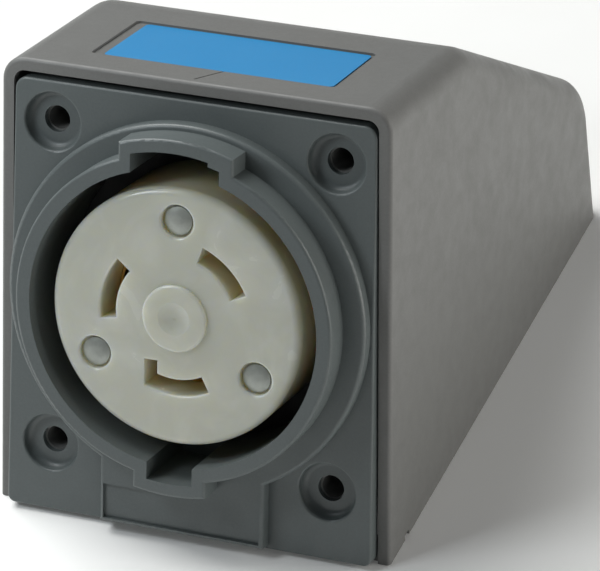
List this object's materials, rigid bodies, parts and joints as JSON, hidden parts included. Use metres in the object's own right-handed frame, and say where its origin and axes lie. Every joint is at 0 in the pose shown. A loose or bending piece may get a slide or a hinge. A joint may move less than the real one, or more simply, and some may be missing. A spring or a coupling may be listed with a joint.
{
  "type": "angled surface outlet box",
  "caption": "Wedge-shaped grey surface box with a leaning cover plate, keyed shroud ring and white round locking receptacle.",
  "frame": {"origin": "centre of the open mounting face, in its plane", "axes": "+Z leaves the mounting face, +X across the box, -Y towards the front opening"},
  "size_m": [0.0856, 0.1379, 0.0917],
  "materials": {
    "housing_grey": "fine moulded texture",
    "cover_grey": "satin moulded",
    "label_blue": "printed film, satin gloss",
    "nylon_white": "satin moulded nylon",
    "nylon_black": "moulded nylon",
    "black_rubber": "matt",
    "brass": "as stamped",
    "rivet_steel": "plated",
    "plated_steel": "zinc plated",
    "green_screw": "green dyed zinc"
  },
  "bodies": {
    "housing": {"housing": "housing_grey", "rating_label": "label_blue"},
    "cover_assembly": {"cover_plate": "cover_grey", "receptacle_face": "nylon_white", "seating_ring": "nylon_black", "flange_gasket": "black_rubber", "contact_carrier": "nylon_black", "rear_body": "nylon_black", "assembly_rivets": "rivet_steel", "mounting_bridge": "plated_steel", "bridge_screws": "plated_steel", "contact_line_x": "brass", "contact_line_y": "brass", "contact_ground": "brass"},
    "screw_line_x": {"terminal_screw_line_x": "plated_steel"},
    "clamp_line_x": {"clamp_plate_line_x": "plated_steel"},
    "screw_line_y": {"terminal_screw_line_y": "plated_steel"},
    "clamp_line_y": {"clamp_plate_line_y": "plated_steel"},
    "screw_ground": {"terminal_screw_ground": "green_screw"},
    "clamp_ground": {"clamp_plate_ground": "plated_steel"}
  },
  "joints": [
    {"name": "cover_lift", "type": "slide", "parent": "housing", "child": "cover_assembly", "axis": [0, -0.9568, 0.2907], "range_m": [0, 0.07]},
    {"name": "line_x_screw_turn", "type": "hinge", "parent": "cover_assembly", "child": "screw_line_x", "pos_m": [0, -0.02016, 0.03739], "axis": [-0.9625, 0.0789, 0.2597], "range_deg": [-1080, 0]},
    {"name": "line_x_clamp_draw", "type": "slide", "parent": "cover_assembly", "child": "clamp_line_x", "axis": [-0.9625, 0.0789, 0.2597], "range_m": [0, 0.0024]},
    {"name": "line_y_screw_turn", "type": "hinge", "parent": "cover_assembly", "child": "screw_line_y", "pos_m": [0, -0.02016, 0.03739], "axis": [0.6756, 0.2143, 0.7054], "range_deg": [-1080, 0]},
    {"name": "line_y_clamp_draw", "type": "slide", "parent": "cover_assembly", "child": "clamp_line_y", "axis": [0.6756, 0.2143, 0.7054], "range_m": [0, 0.0024]},
    {"name": "ground_screw_turn", "type": "hinge", "parent": "cover_assembly", "child": "screw_ground", "pos_m": [0, -0.02016, 0.03739], "axis": [0.0335, -0.2905, -0.9563], "range_deg": [-1080, 0]},
    {"name": "ground_clamp_draw", "type": "slide", "parent": "cover_assembly", "child": "clamp_ground", "axis": [0.0335, -0.2905, -0.9563], "range_m": [0, 0.0024]}
  ],
  "couplings": [
    {"joint": "line_x_screw_turn", "follows": "line_x_clamp_draw", "rad_per_m": -7854},
    {"joint": "line_y_screw_turn", "follows": "line_y_clamp_draw", "rad_per_m": -7854},
    {"joint": "ground_screw_turn", "follows": "ground_clamp_draw", "rad_per_m": -7854}
  ]
}
